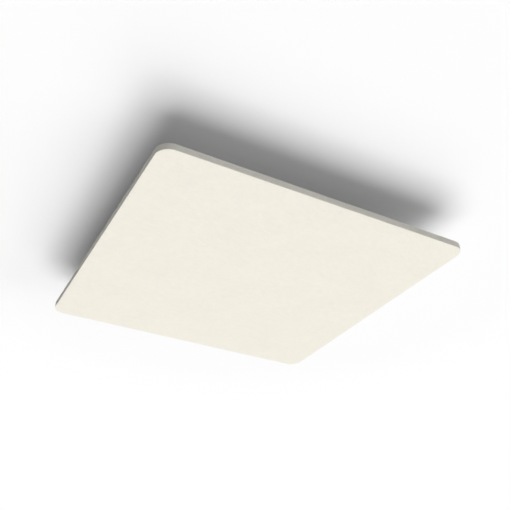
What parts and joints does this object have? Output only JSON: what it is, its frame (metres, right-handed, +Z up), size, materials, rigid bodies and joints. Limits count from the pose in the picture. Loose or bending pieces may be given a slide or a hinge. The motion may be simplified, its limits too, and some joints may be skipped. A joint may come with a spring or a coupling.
{
  "type": "ceiling panel",
  "caption": "Square felt ceiling panel with rounded corners, hung flat and face down by threaded sockets on its back.",
  "frame": {"origin": "middle of the visible lower face, on that face", "axes": "+Z up, from the visible face towards the ceiling; X and Y along the sides of the square"},
  "size_m": [1.2, 1.2, 0.035],
  "materials": {
    "felt": "matte",
    "plate_steel": "satin",
    "socket_steel": "satin",
    "screw_steel": "satin"
  },
  "bodies": {
    "root": {"felt_panel": "felt", "hanger_plate_1": "plate_steel", "hanger_plate_2": "plate_steel", "hanger_plate_3": "plate_steel", "hanger_plate_4": "plate_steel", "threaded_socket_1": "socket_steel", "threaded_socket_2": "socket_steel", "threaded_socket_3": "socket_steel", "threaded_socket_4": "socket_steel", "plate_screws": "screw_steel"}
  },
  "joints": []
}
